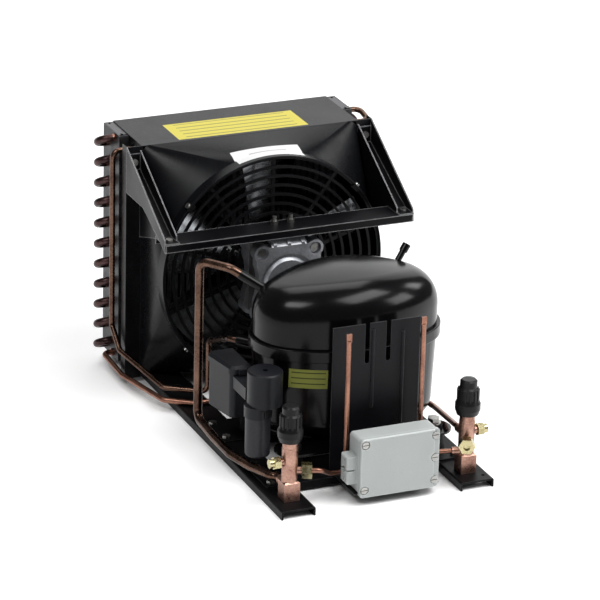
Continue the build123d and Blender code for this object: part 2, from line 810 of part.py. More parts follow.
def coil_fins():
    """Fin pack: a block bored for the tubes, with the gaps between fins cut into both faces."""
    pack = block(-fin_half_length, fin_half_length, coil_front_y, coil_rear_y, coil_bottom_z, coil_top_z)
    pitch = 2 * fin_half_length / fin_count
    for k in range(fin_count):
        x = -fin_half_length + pitch * (k + 0.5)
        for y in (coil_front_y, coil_rear_y):
            pack -= Pos(x, y, (coil_bottom_z + coil_top_z) / 2) * Box(
                fin_groove_width, 2 * fin_groove, coil_top_z - coil_bottom_z)
    for y, z in tube_places():
        pack -= rod_x(tube_radius, -coil_half_length, coil_half_length, y, z)
    return pack


def coil_tubes():
    return group([rod_x(tube_radius, -bend_centre_x, bend_centre_x, y, z) for y, z in tube_places()])


def return_bend(side, start, end):
    """Half-round bend between two tube ends, given as (y, z)."""
    rise = Vector(0, end[0] - start[0], end[1] - start[1])
    middle = (side * bend_centre_x, (start[0] + end[0]) / 2, (start[1] + end[1]) / 2)
    section = Plane(origin=(side * bend_centre_x, *start), z_dir=(side, 0, 0)) * Circle(tube_radius)
    return revolve(section, Axis(middle, Vector(side, 0, 0).cross(rise)), 180)


def return_bends():
    """On the left each front tube runs on into the rear tube below it, and on the right each rear
    tube runs on into the front tube below it, the lowest into the outlet tube."""
    fronts = [outlet_tube_z] + front_row_zs
    bends = []
    for k in range(tubes_high):
        rear = (rear_row_y, rear_row_zs[k])
        bends.append(return_bend(-1, (front_row_y, front_row_zs[k]), rear))
        bends.append(return_bend(1, rear, (front_row_y, fronts[k])))
    return group(bends)


def coil_end_plate(side):
    """Sheet at the end of the fin pack, with a stiffening flange in front and behind."""
    x0 = side * fin_half_length
    x1 = side * coil_half_length
    low, high = min(x0, x1), max(x0, x1)
    plate = block(low, high, coil_plate_front_y, hood_rear_y, coil_bottom_z, coil_top_z)
    edge = x0 - side * coil_plate_flange
    for y in (coil_plate_front_y, hood_rear_y - tube_sheet):
        plate += block(min(edge, x1), max(edge, x1), y, y + tube_sheet, coil_bottom_z, coil_top_z)
    for y, z in tube_places():
        plate -= rod_x(tube_radius, low - 1, high + 1, y, z)
    return plate


save("coil_fins", coil_fins())
save("coil_tubes", coil_tubes())
save("return_bends", return_bends())
save("left_coil_end_plate", coil_end_plate(-1))
save("right_coil_end_plate", coil_end_plate(1))


# ---- fan hood ----------------------------------------------------------------------------------


def hood_funnel(inset):
    """Solid that runs from the coil's rounded rectangle down to the round collar, and the collar itself."""
    half = hood_half_width - inset
    low, high = hood_bottom_z + inset, hood_top_z - inset
    corner = hood_corner - inset
    radius = collar_radius - inset
    corners = [(half, high), (-half, high), (-half, low), (half, low)]
    rear, front = [], []
    for k in range(4):
        x, z = corners[k]
        sx = 1 if x > 0 else -1
        sz = 1 if z > fan_z else -1
        along_x, along_z = (x - sx * corner, z), (x, z - sz * corner)
        first, last = (along_z, along_x) if k % 2 == 0 else (along_x, along_z)
        middle = (x - sx * corner * (1 - sqrt(0.5)), z - sz * corner * (1 - sqrt(0.5)))
        nx, nz = corners[(k + 1) % 4]
        nsx = 1 if nx > 0 else -1
        nsz = 1 if nz > fan_z else -1
        following = (nx - nsx * corner, nz) if k % 2 == 0 else (nx, nz - nsz * corner)
        rear.append(ThreePointArc(first, middle, last))
        rear.append(Line(last, following))
        angle = 45 + 90 * k
        a, b, c = angle - collar_corner_angle / 2, angle, angle + collar_corner_angle / 2
        d = angle + 90 - collar_corner_angle / 2
        spots = [(radius * cos(radians(t)), fan_z + radius * sin(radians(t)))
                 for t in (a, b, c, (c + d) / 2, d)]
        front.append(ThreePointArc(spots[0], spots[1], spots[2]))
        front.append(ThreePointArc(spots[2], spots[3], spots[4]))
    opening = upright(front, collar_rear_y)
    funnel = loft([upright(rear, hood_front_y), opening], ruled=True)
    return funnel + extrude(opening, collar_length, dir=(0, -1, 0))


def upright(edges, y):
    """A face drawn with X across and Z up, set at a distance Y."""
    return Pos(0, y, 0) * Rot(90, 0, 0) * make_face(edges)


def lug_angles():
    return (40, 140, 220, 320)


def fan_shroud():
    """Hood between the coil and the fan: top and bottom sheets, side walls, funnel, collar, side flanges."""
    half = hood_half_width
    hood = hood_funnel(0) - hood_funnel(hood_sheet)
    hood += block(-half, half, hood_front_y, hood_rear_y, hood_top_z - hood_sheet, hood_top_z)
    hood += block(-half, half, hood_front_y, hood_rear_y, hood_bottom_z, hood_bottom_z + hood_sheet)
    for side in (-1, 1):
        wall = block(half - hood_sheet, half, hood_front_y, coil_plate_front_y, hood_bottom_z, hood_top_z)
        wall -= rod_x(header_hole_radius, half - 2, half + 1, header_y, header_cross_z)
        flange = block(half - hood_sheet, flange_x, hood_front_y, hood_front_y + hood_sheet,
                       flange_bottom_z, hood_top_z)
        flange += block(flange_x - hood_sheet, flange_x, hood_front_y, hood_front_y + flange_return,
                        flange_bottom_z, hood_top_z)
        flange -= rod_y(arm_screw_radius, hood_front_y - 1, hood_front_y + 2, arm_screw_x, arm_screw_z)
        hood += wall + flange if side > 0 else mirrored(wall + flange)
    for angle in lug_angles():
        hood -= Pos(0, guard_y, fan_z) * Rot(0, -angle, 0) * rod_x(
            guard_screw_radius, collar_radius - 3, collar_radius + 1)
    for x, y in hood_screw_places():
        hood -= rod_z(arm_screw_radius, hood_bottom_z, hood_bottom_z + hood_sheet, x, y)
    return hood


def hood_screw_places():
    return [(side * rail_centre_x, hood_front_y + 20) for side in (-1, 1)]


def cut_plate(points, x0, x1):
    """A plate cut to an outline in Y and Z, from x0 to x1."""
    face = make_face(Polyline(*points, close=True))
    return Pos(x0, 0, 0) * extrude(Plane.YZ * face, x1 - x0)


def arm():
    """Right arm: an open channel that carries the motor bar out in front of the hood."""
    rear = hood_front_y
    web_y = bar_front_y + arm_web_inset
    outer = [(rear, hood_top_z), (bar_front_y + 2, arm_front_z), (bar_front_y, bar_top_z - bar_lip),
             (bar_front_y + 20, arm_gusset_z - 19), (bar_rear_y + 35, arm_gusset_z), (rear, arm_gusset_z)]
    inner = [(rear, hood_top_z - 5), (web_y, arm_front_z + 1), (web_y, bar_top_z),
             (bar_rear_y + 1, bar_top_z), (bar_rear_y + 1, arm_web_front_z), (rear, arm_web_rear_z)]
    floor = [(rear, arm_floor_z + arm_sheet), (arm_knee_y, bar_top_z + arm_sheet),
             (bar_front_y, bar_top_z + arm_sheet), (bar_front_y, bar_top_z),
             (arm_knee_y, bar_top_z), (rear, arm_floor_z)]
    body = cut_plate(outer, flange_x - arm_sheet, flange_x)
    body += cut_plate(inner, arm_inner_x, arm_inner_x + arm_sheet)
    body += cut_plate(floor, arm_inner_x, flange_x)
    body += block(arm_inner_x, flange_x, rear - arm_sheet, rear, arm_floor_z, arm_screw_z + 10)
    body -= rod_y(arm_screw_radius, rear - 3, rear + 1, arm_screw_x, arm_screw_z)
    body -= rod_z(arm_screw_radius, bar_top_z - 1, bar_top_z + 3, arm_screw_x, bar_screw_y)
    return body


def motor_bar():
    """Lipped bar between the arms, drilled for the motor's two studs."""
    half = flange_x - arm_sheet
    bar = block(-half, half, bar_front_y, bar_rear_y, bar_top_z - bar_sheet, bar_top_z)
    for y in (bar_front_y, bar_rear_y - bar_sheet):
        bar += block(-half, half, y, y + bar_sheet, bar_top_z - bar_lip, bar_top_z)
    for side in (-1, 1):
        bar -= rod_z(arm_screw_radius, bar_top_z - 3, bar_top_z + 1, side * arm_screw_x, bar_screw_y)
        stud_x = side * motor_foot_bolt_spacing / 2
        bar -= rod_z(motor_bolt_radius, bar_top_z - 3, bar_top_z + 1, stud_x, foot_bolt_y)
    return bar


def pan_screw(start, end, head_end):
    """Screw with a domed head: shank from start to end, head from start back to head_end."""
    screw = rod_between(arm_screw_radius, start, end)
    head = rod_between(arm_screw_head_radius, start, head_end)
    return screw + head


def sheet_metal_screws():
    screws = []
    for side in (-1, 1):
        x = side * arm_screw_x
        y = hood_front_y - arm_sheet
        z = bar_top_z + arm_sheet
        screws.append(pan_screw((x, y, arm_screw_z), (x, y + 8, arm_screw_z), (x, y - 2.5, arm_screw_z)))
        screws.append(pan_screw((x, bar_screw_y, z), (x, bar_screw_y, z - 8), (x, bar_screw_y, z + 2.5)))
    for x, y in hood_screw_places():
        z = hood_bottom_z + hood_sheet
        screws.append(pan_screw((x, y, z), (x, y, z - 8), (x, y, z + 2.5)))
    for angle in lug_angles():
        screw = rod_x(guard_screw_radius, collar_radius - 4.5, collar_radius)
        screw += rod_x(guard_screw_radius * 2, collar_radius, collar_radius + 2.2)
        screws.append(Pos(0, guard_y, fan_z) * Rot(0, -angle, 0) * screw)
    return group(screws)


def fan_guard():
    """Wire grille in front of the fan: rings held by ribs, with an open hub for the motor."""
    ring_y = guard_y - guard_ring_depth
    pitch = (guard_radius - guard_hub_radius) / guard_ring_count
    guard = rod_y(guard_hub_radius, ring_y, guard_y + guard_rib_depth, 0, fan_z)
    guard -= rod_y(guard_hub_radius - guard_hub_width, ring_y - 1, guard_y + guard_rib_depth + 1, 0, fan_z)
    for k in range(1, guard_ring_count + 1):
        outer = guard_hub_radius + pitch * k
        ring = rod_y(outer, ring_y, guard_y + 0.5, 0, fan_z)
        guard += ring - rod_y(outer - guard_ring_width, ring_y - 1, guard_y + 1, 0, fan_z)
    for k in range(guard_rib_count):
        rib = block(guard_hub_radius - 2, guard_radius - 1, 0, guard_rib_depth,
                    -guard_rib_width / 2, guard_rib_width / 2)
        guard += Pos(0, guard_y, fan_z) * Rot(0, 360 / guard_rib_count * k + 18, 0) * rib
    for angle in lug_angles():
        lug = block(guard_radius - 5, guard_radius - 0.4, -4, 4, -5, 5)
        lug -= rod_x(guard_screw_radius, guard_radius - 6, guard_radius + 1)
        guard += Pos(0, guard_y, fan_z) * Rot(0, -angle, 0) * lug
        guard -= Pos(0, guard_y, fan_z) * Rot(0, -angle, 0) * rod_x(
            guard_screw_radius, guard_radius - 6, guard_radius + 1)
    return guard


save("fan_shroud", fan_shroud())
save("right_arm", arm())
save("left_arm", mirrored(arm()))
save("motor_cross_bar", motor_bar())
save("sheet_metal_screws", sheet_metal_screws())
save("fan_guard", fan_guard())


# ---- fan wheel and motor -----------------------------------------------------------------------


def blade_section(chord, pitch, radius):
    """Thin arched section square to the radius, turned to its pitch."""
    half, rise, thick = chord / 2, chord * fan_blade_camber, fan_blade_thickness
    outline = [ThreePointArc((-half, 0), (0, rise), (half, 0)), Line((half, 0), (half, -thick)),
               ThreePointArc((half, -thick), (0, rise - thick), (-half, -thick)),
               Line((-half, -thick), (-half, 0))]
    plane = Plane(origin=(radius, 0, 0), x_dir=(0, 0, 1), z_dir=(1, 0, 0))
    return plane * Rot(0, 0, pitch) * make_face(outline)


def fan_wheel():
    """Five twisted blades on a hub that is clamped to the motor's shaft."""
    sections = [blade_section(*row) for row in fan_blade_stations]
    blade = loft(sections)
    blade &= rod_y(fan_radius, -fan_hub_depth * 2, fan_hub_depth * 2)
    hub = rod_y(fan_hub_radius, -fan_hub_depth / 2, fan_hub_depth / 2)
    hub = fillet(hub.edges().group_by(Axis.Y)[0], 4)
    hub -= rod_y(fan_hub_radius - 4, -2, fan_hub_depth / 2)
    hub += rod_y(fan_boss_radius, -fan_hub_depth / 2, fan_hub_depth / 2)
    for k in range(fan_blades):
        hub += Rot(0, 360 / fan_blades * k - fan_rest_angle, 0) * blade
    hub -= rod_y(fan_hub_radius - 4, -2, fan_hub_depth / 2) - rod_y(fan_boss_radius, -3, fan_hub_depth)
    hub -= rod_y(motor_shaft_radius, -fan_hub_depth, fan_hub_depth)
    return Pos(0, fan_y, fan_z) * hub


def motor_lobes():
    return [(x, fan_z + z) for x in (-motor_lobe_x, motor_lobe_x) for z in (-motor_lobe_z, motor_lobe_z)]


def motor_bolt_holes():
    return [rod_y(motor_bolt_radius, motor_front_y - 1, motor_rear_y + 1, x, z) for x, z in motor_lobes()]


def end_shield(y0, y1):
    """Die-cast end bell with a lobe at each through bolt and waisted sides between them."""
    half, height = motor_half_width, motor_half_height
    shield = block(-half, half, y0, y1, fan_z - height, fan_z + height)
    shield = fillet(shield.edges().filter_by(Axis.Y), motor_lobe_radius)
    for side in (-1, 1):
        shield -= rod_y(motor_waist_radius, y0 - 1, y1 + 1, side * (half + motor_waist_radius - 4), fan_z)
    for x, z in motor_lobes():
        shield += rod_y(motor_lobe_radius, y0, y1, x, z)
    return shield


def front_shield():
    """Front end bell: recessed bearing cover, sunk bolt heads, sloped and ribbed foot under the bar."""
    shield = end_shield(motor_front_y, stack_front_y)
    shield -= rod_y(motor_recess_radius, motor_front_y, motor_front_y + motor_recess_depth, 0, fan_z)
    dome = rod_y(motor_dome_radius, motor_front_y, motor_front_y + motor_recess_depth, 0, fan_z)
    shield += chamfer(dome.edges().group_by(Axis.Y)[0], 3)
    top = fan_z + motor_half_height
    under = motor_foot_top_z - motor_foot_thickness
    slope_y = motor_front_y + motor_slope_depth
    half = motor_foot_rib_pitch + motor_foot_rib_width
    slope = [(motor_front_y, top - 3), (motor_front_y, top), (slope_y, under + 1), (slope_y, under - 3)]
    shield += cut_plate(slope, -half, half)
    rise = motor_foot_rib_rise
    rib = [(motor_front_y, top - 3), (motor_front_y, top + rise), (slope_y, under + 1 + rise),
           (motor_foot_rear_y, under + 1), (motor_foot_rear_y, top - 3)]
    for k in range(3):
        x = (k - 1) * motor_foot_rib_pitch
        shield += cut_plate(rib, x - motor_foot_rib_width / 2, x + motor_foot_rib_width / 2)
    shield += block(-half, half, motor_front_y + 2, motor_foot_rear_y, under, motor_foot_top_z)
    shield -= block(-60, 60, stack_front_y, motor_foot_rear_y + 1, fan_z, top + pipe_gap)
    for side in (-1, 1):
        shield -= rod_z(motor_bolt_radius, top, bar_top_z, side * motor_foot_bolt_spacing / 2, foot_bolt_y)
    seat = motor_front_y + motor_head_recess_depth
    for x, z in motor_lobes():
        shield -= rod_y(motor_head_recess_radius, motor_front_y, seat, x, z)
    for hole in motor_bolt_holes():
        shield -= hole
    shaft_y = motor_front_y + motor_shaft_start - pipe_gap
    return shield - rod_y(motor_shaft_radius + running_clearance, shaft_y, stack_front_y + 1, 0, fan_z)


def rear_shield():
    shield = end_shield(stack_rear_y, motor_rear_y)
    for hole in motor_bolt_holes():
        shield -= hole
    bore = motor_shaft_radius + running_clearance
    return shield - rod_y(bore, stack_rear_y - 1, motor_rear_y + 1, 0, fan_z)


def motor_stator():
    """Laminated core between the end bells, bored for the rotor."""
    core = block(-motor_half_width + 4, motor_half_width - 4, stack_front_y, stack_rear_y,
                 fan_z - motor_half_height + 3, fan_z + motor_half_height - 3)
    core -= rod_y(motor_rotor_radius + air_gap, stack_front_y - 1, stack_rear_y + 1, 0, fan_z)
    for hole in motor_bolt_holes():
        core -= hole
    return core


def motor_rotor():
    """Rotor on its shaft, which runs back through the guard to the fan."""
    rotor = rod_y(motor_rotor_radius, stack_front_y + 2, stack_rear_y - 2, 0, fan_z)
    shaft_y = motor_front_y + motor_shaft_start
    return rotor + rod_y(motor_shaft_radius, shaft_y, fan_y + fan_hub_depth / 2 + 4, 0, fan_z)


def fan_motor_bolts():
    """Four long bolts that clamp the motor, and the two nutted studs that hang it from the bar."""
    bolts = []
    for x, z in motor_lobes():
        seat = motor_front_y + motor_head_recess_depth
        bolt = rod_y(motor_bolt_radius, seat, motor_rear_y, x, z)
        bolts.append(bolt + rod_y(motor_head_radius, seat - motor_head_height, seat, x, z))
    for side in (-1, 1):
        x = side * motor_foot_bolt_spacing / 2
        stud = rod_z(motor_bolt_radius, bar_top_z - 12, bar_top_z + 9, x, foot_bolt_y)
        stud += hexagon_between(8.0, (x, foot_bolt_y, bar_top_z), (x, foot_bolt_y, bar_top_z + 4))
        under = motor_foot_top_z - motor_foot_thickness
        stud += hexagon_between(8.0, (x, foot_bolt_y, under - 4), (x, foot_bolt_y, under))
        bolts.append(stud)
    return group(bolts)


save("fan_wheel", fan_wheel())
save("fan_motor_front_shield", front_shield())
save("fan_motor_rear_shield", rear_shield())
save("fan_motor_stator", motor_stator())
save("fan_motor_rotor", motor_rotor())
save("fan_motor_bolts", fan_motor_bolts())


# ---- service valves ----------------------------------------------------------------------------


class ServiceValve:
    """Angle valve with a capped spindle, a capped port, a side nut and a pipe socket behind.

    Side is -1 on the left and 1 on the right. A direction is a unit vector in plan.
    """

    def __init__(self, side, port_z, nut_z, nut_direction, pipe_z, pipe_radius):
        self.x = side * valve_x
        self.side = side
        self.port_z = port_z
        self.nut_z = nut_z
        self.nut_direction = Vector(*nut_direction, 0).normalized()
        self.pipe_z = pipe_z
        self.pipe_radius = pipe_radius

    def at(self, direction, distance, z):
        return (self.x + direction.X * distance, valve_y + direction.Y * distance, z)

    def spoke(self, radius, direction, start, end, z):
        """A round bar that points away from the valve's axis."""
        return rod_between(radius, self.at(direction, start, z), self.at(direction, end, z))

    def body(self):
        out = Vector(self.side, 0, 0)
        back = Vector(0, 1, 0)
        half = valve_block_half
        body = block(self.x - half, self.x + half, valve_y - half, valve_y + half,
                     rail_height, valve_block_top_z)
        body = chamfer(body.edges().group_by(Axis.Z)[-1], 1.5)
        body += rod_z(valve_body_radius, rail_height, valve_body_top_z, self.x, valve_y)
        body += rod_z(valve_neck_radius, valve_body_top_z - 1, valve_neck_top_z, self.x, valve_y)
        body += rod_z(valve_bolt_radius, rail_height - sheet - 2, rail_height + 1, self.x, valve_y)
        body += self.spoke(valve_port_radius, out, 0, port_length, self.port_z)
        body += self.spoke(valve_port_radius, self.nut_direction, 0, nut_seat, self.nut_z)
        body += self.spoke(self.pipe_radius + socket_wall, back, 0, socket_end, self.pipe_z)
        body -= self.spoke(self.pipe_radius, back, socket_seat, socket_end + 1, self.pipe_z)
        body -= self.spoke(valve_port_bore_radius, out, 4, port_length + 1, self.port_z)
        bore = valve_spindle_radius + running_clearance
        return body - rod_z(bore, spindle_seat_z, valve_neck_top_z + 1, self.x, valve_y)

    def spindle(self):
        """Stem with a square end for the valve key."""
        stem = rod_z(valve_spindle_radius, spindle_seat_z + pipe_gap, valve_spindle_top_z, self.x, valve_y)
        flat = Pos(self.x, valve_y, valve_spindle_top_z) * (
            Box(20, 20, 24) - Box(spindle_square, spindle_square, 25))
        return stem - flat

    def cap(self):
        """Moulded cap with a bulging skirt and a ribbed grip."""
        low, high = valve_cap_bottom_z, valve_cap_top_z
        skirt, waist, crown = cap_skirt_radius, cap_waist_radius, cap_crown_radius
        outline = [(0, low), (skirt - 2, low), (skirt, low + 6), (skirt, low + 13), (waist, low + 18),
                   (waist, high - 11), (crown, high - 9), (crown, high - 2), (crown - 2, high), (0, high)]
        cap = revolve(make_face(Plane.XZ * Polyline(*outline, close=True)), Axis.Z)
        for k in range(cap_ribs):
            rib = block(waist - 1, waist + cap_rib_height, -0.8, 0.8, low + 16, high - 11)
            cap += Rot(0, 0, 360 / cap_ribs * k) * rib
        cap -= rod_z(valve_neck_radius + pipe_gap, low - 1, valve_neck_top_z + pipe_gap)
        cap -= rod_z(valve_spindle_radius + spindle_clearance, valve_neck_top_z, valve_spindle_top_z + 4)
        return Pos(self.x, valve_y, 0) * cap

    def port_cap(self):
        """Hexagon nut that closes the port, with a round end."""
        out = Vector(self.side, 0, 0)
        cap = hexagon_between(port_cap_across_flats, self.at(out, port_cap_start, self.port_z),
                              self.at(out, port_length - 1, self.port_z))
        cap += self.spoke(port_cap_end_radius, out, port_length - 2, port_length + 4, self.port_z)
        return cap - self.spoke(valve_port_radius + pipe_gap, out, 0, port_length + pipe_gap, self.port_z)

    def flare_nut(self, bore):
        """Nut over the side stub, closed by its own tube or, on the spare port, by its plug."""
        nut = hexagon_between(valve_nut_across_flats, self.at(self.nut_direction, nut_seat, self.nut_z),
                              self.at(self.nut_direction, nut_end, self.nut_z))
        start = nut_seat if bore else nut_end - 3
        radius = tap_tube_radius if bore else valve_port_radius
        return nut - self.spoke(radius, self.nut_direction, start, nut_end + 1, self.nut_z)


suction_valve = ServiceValve(-1, suction_port_z, suction_gauge_z, (21, -8),
                             suction_pipe_z, suction_pipe_radius)
liquid_valve = ServiceValve(1, liquid_port_z, liquid_gauge_z, (-9, -20),
                            liquid_entry_z, liquid_pipe_radius)
tap_direction = Vector(high_tap_x - valve_x, tap_y - valve_y, 0).normalized()


def liquid_valve_body():
    """The liquid valve has one more stub, low on its left, for the high-pressure tube."""
    body = liquid_valve.body()
    body += liquid_valve.spoke(tap_tube_radius + socket_wall, tap_direction, 0, tap_socket_end, high_tap_z)
    return body - liquid_valve.spoke(tap_tube_radius, tap_direction, tap_socket_seat,
                                     tap_socket_end + 1, high_tap_z)


for valve, name, bored in ((suction_valve, "suction_valve", True), (liquid_valve, "liquid_valve", False)):
    save(f"{name}_body", valve.body() if valve is suction_valve else liquid_valve_body())
    save(f"{name}_spindle", valve.spindle())
    save(f"{name}_cap", valve.cap())
    save(f"{name}_port_cap", valve.port_cap())
    save(f"{name}_flare_nut", valve.flare_nut(bored))


# ---- pipework ----------------------------------------------------------------------------------


def on_compressor(point):
    return Vector(compressor_x, compressor_y, 0) + point


def suction_line():
    """From the compressor's top stub over an arch, down and forward along the left rail."""
    tip = on_compressor(suction_stub_tip)
    points = [tip - suction_stub_out * stub_socket, tip + suction_stub_out * 12,
              (-126, from_front(242), suction_arch_z), (-126, from_front(242), suction_low_z),
              (-129, from_front(184), suction_low_z), (-129, from_front(138), suction_low_z),
              (-121, from_front(101), suction_low_z), (-113, from_front(64), suction_pipe_z),
              (-valve_x, valve_y + 26, suction_pipe_z), (-valve_x, valve_y + socket_seat, suction_pipe_z)]
    return tube(points, suction_pipe_radius, suction_bend)


def discharge_line():
    """From the compressor's low stub round the hood's foot, up its side and across into the coil."""
    tip = on_compressor(discharge_stub_tip)
    right_x = header_x + header_side_step
    points = [tip - discharge_stub_out * stub_socket, tip + discharge_stub_out * 10,
              (-91, from_front(298), 87), (-91, from_front(298), 24),
              (-134, from_front(326), 24), (-header_x, from_front(405), 42), (-header_x, header_y, 64),
              (-header_x, header_y, header_cross_z), (right_x, header_y, header_cross_z),
              (right_x, front_row_y, front_row_zs[-1]), (bend_centre_x, front_row_y, front_row_zs[-1])]
    return tube(points, discharge_pipe_radius, discharge_bend)


def liquid_line():
    """From the coil's bottom tube round the hood's foot, then behind the compressor to its valve."""
    left_x = -header_x + pipe_gap
    points = [(-bend_centre_x, front_row_y, outlet_tube_z), (left_x, front_row_y, outlet_tube_z),
              (left_x, from_front(399), liquid_low_z), (-139, from_front(315), liquid_low_z),
              (-108, liquid_cross_y, liquid_low_z), (121, liquid_cross_y, liquid_low_z),
              (125, from_front(250), 22), (124, from_front(150), 33.5),
              (valve_x, valve_y + 26, liquid_entry_z), (valve_x, valve_y + socket_seat, liquid_entry_z)]
    return tube(points, liquid_pipe_radius, liquid_bend)


def pinched(top):
    """Flat, sealed end of a charging tube."""
    x, y, z = top
    end = Box(tap_tube_radius * 2.3, tap_tube_radius * 0.9, pinch_length)
    return Pos(x, y, z + pinch_length / 2 - 1) * end


def low_pressure_tube():
    out = suction_valve.nut_direction
    bottom = (low_tap_x, tap_y, 25)
    top = (low_tap_x, tap_y, low_tap_top_z)
    points = [suction_valve.at(out, nut_seat, suction_gauge_z), suction_valve.at(out, 34, suction_gauge_z),
              (-54, tap_y - 4, 28), bottom, top]
    return tube(points, tap_tube_radius, tap_bend) + pinched(top)


def high_pressure_tube():
    top = (high_tap_x, tap_y, high_tap_top_z)
    start = liquid_valve.at(tap_direction, tap_socket_seat, high_tap_z)
    points = [start, (high_tap_x, tap_y, high_tap_z), top]
    return tube(points, tap_tube_radius, tap_bend) + pinched(top)


save("suction_line", suction_line())
save("discharge_line", discharge_line())
save("liquid_line", liquid_line())
save("low_pressure_tube", low_pressure_tube())
save("high_pressure_tube", high_pressure_tube())


# ---- control bracket and junction box ------------------------------------------------------------


def control_bracket():
    """Upright plate for a pressure switch, slotted from its top edge, on a foot that carries the box."""
    plate = block(bracket_left_x, bracket_right_x, bracket_y, bracket_y + bracket_sheet,
                  member_top_z, bracket_top_z)
    for x in bracket_slot_xs:
        half = bracket_slot_width / 2
        slot_z = bracket_top_z - bracket_slot_depth
        slot = block(x - half, x + half, bracket_y - 1, bracket_y + 3, slot_z, bracket_top_z)
        slot += rod_y(half, bracket_y - 1, bracket_y + 3, x, slot_z)
        plate -= slot
    for x, low, high in bracket_ribs:
        rib = rod_z(bracket_rib_radius, low, high, x, bracket_y)
        plate += rib - block(x - 5, x + 5, bracket_y + 1, bracket_y + 9, low - 1, high + 1)
    foot = block(bracket_left_x + 3, bracket_right_x - 0.5, lid_rear_y + pipe_gap, bracket_y + bracket_sheet,
                 member_top_z, bracket_foot_top_z)
    for x in bracket_screw_xs:
        foot -= rod_z(lid_screw_radius, member_top_z - 1, bracket_foot_top_z + 1, x, box_middle_y)
    return plate + foot


def junction_box():
    """Open-fronted plastic box with a rounded rim and a cable entry on its left."""
    box = block(box_left_x, box_right_x, lid_rear_y, box_rear_y, bracket_foot_top_z, box_top_z)
    box = fillet(box.edges().filter_by(Axis.Y), 4)
    box -= block(box_left_x + box_wall, box_right_x - box_wall, lid_rear_y - 1, box_rear_y - box_wall,
                 bracket_foot_top_z + box_wall, box_top_z - box_wall)
    hole_end = lid_rear_y + lid_screw_reach + 3
    for x, z in lid_screw_places():
        post = rod_y(lid_screw_radius * 2, lid_rear_y, box_rear_y - 1, x, z)
        box += post - rod_y(lid_screw_radius + pipe_gap, lid_rear_y - 1, hole_end, x, z)
    box -= rod_x(cable_radius + 1, box_left_x - 1, box_left_x + box_wall + 1, box_middle_y, clamp_z)
    floor_z = bracket_foot_top_z + box_wall
    for x in bracket_screw_xs:
        box -= rod_z(lid_screw_radius, bracket_foot_top_z - 1, floor_z + 1, x, box_middle_y)
    return box


def lid_screw_places():
    """Two screws down the left edge of the lid and three down the right."""
    left, right = box_left_x + lid_screw_inset, box_right_x - lid_screw_inset
    low, high = bracket_foot_top_z + lid_screw_inset, box_top_z - lid_screw_inset
    return [(left, low), (left, high), (right, low), (right, (low + high) / 2), (right, high)]


def junction_box_lid():
    """Lid with a raised front panel, recessed round its screws and along its right edge."""
    low, high = bracket_foot_top_z - lid_below, box_top_z + lid_above
    recess_y = box_front_y + lid_recess
    lid = block(box_left_x, box_right_x, box_front_y, lid_rear_y, low, high)
    lid = fillet(lid.edges().filter_by(Axis.Y), 4)
    lid = chamfer(lid.edges().group_by(Axis.Y)[0], 1)
    lid -= block(box_right_x - lid_strip, box_right_x + 1, box_front_y, recess_y, low, high)
    for x, z in lid_screw_places():
        lid -= rod_y(lid_screw_radius, box_front_y, lid_rear_y + 1, x, z)
        lid -= rod_y(lid_screw_head_radius + 1, box_front_y, recess_y, x, z)
    return lid


def junction_box_screws():
    screws = []
    seat = box_front_y + lid_recess
    front = seat - lid_screw_head_height
    for x, z in lid_screw_places():
        shank = rod_y(lid_screw_radius, seat, lid_rear_y + lid_screw_reach, x, z)
        head = rod_y(lid_screw_head_radius, front, seat, x, z)
        slot = block(x - lid_screw_head_radius, x + lid_screw_head_radius, front, front + 1,
                     z - 0.5, z + 0.5)
        screws.append(shank + head - slot)
    return group(screws)


def cable_clamp():
    """Two-jaw cord grip screwed to the box's left side."""
    clamp = block(box_left_x - clamp_width, box_left_x,
                  box_middle_y - clamp_depth / 2, box_middle_y + clamp_depth / 2,
                  clamp_z - clamp_height / 2, clamp_z + clamp_height / 2)
    clamp = fillet(clamp.edges().group_by(Axis.X)[0], 2.5)
    clamp -= rod_x(cable_radius, box_left_x - clamp_width - 1, box_left_x + 1, box_middle_y, clamp_z)
    clamp -= block(box_left_x - clamp_width - 1, box_left_x - 3, box_middle_y - 12, box_middle_y + 12,
                   clamp_z - 1, clamp_z + 1)
    outer_x = box_left_x - clamp_width
    for z in (clamp_z - 11, clamp_z + 11):
        clamp -= rod_x(lid_screw_radius, outer_x - 1, outer_x + 4, box_middle_y, z)
    return clamp


def terminal_block():
    """Strip of six screw terminals on the box's rear wall."""
    width = terminal_pitch * terminals
    x0 = (box_left_x + box_right_x - width) / 2
    z = bracket_foot_top_z + box_height * 0.4
    rear = box_rear_y - box_wall
    strip = block(x0, x0 + width, rear - 12, rear, z, z + 18)
    for k in range(terminals):
        x = x0 + terminal_pitch * (k + 0.5)
        strip -= rod_y(2.2, rear - 13, rear - 6, x, z + 9)
        strip -= block(x - 2, x + 2, rear - 10, rear - 4, z - 1, z + 5)
    for k in range(1, terminals):
        x = x0 + terminal_pitch * k
        strip += block(x - 0.6, x + 0.6, rear - 15, rear, z, z + 18)
    return strip


save("control_bracket", control_bracket())
save("junction_box", junction_box())
save("junction_box_lid", junction_box_lid())
save("junction_box_screws", junction_box_screws())
save("cable_clamp", cable_clamp())
save("terminal_block", terminal_block())
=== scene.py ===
import bpy
import json
from math import atan2, radians
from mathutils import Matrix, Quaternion, Vector

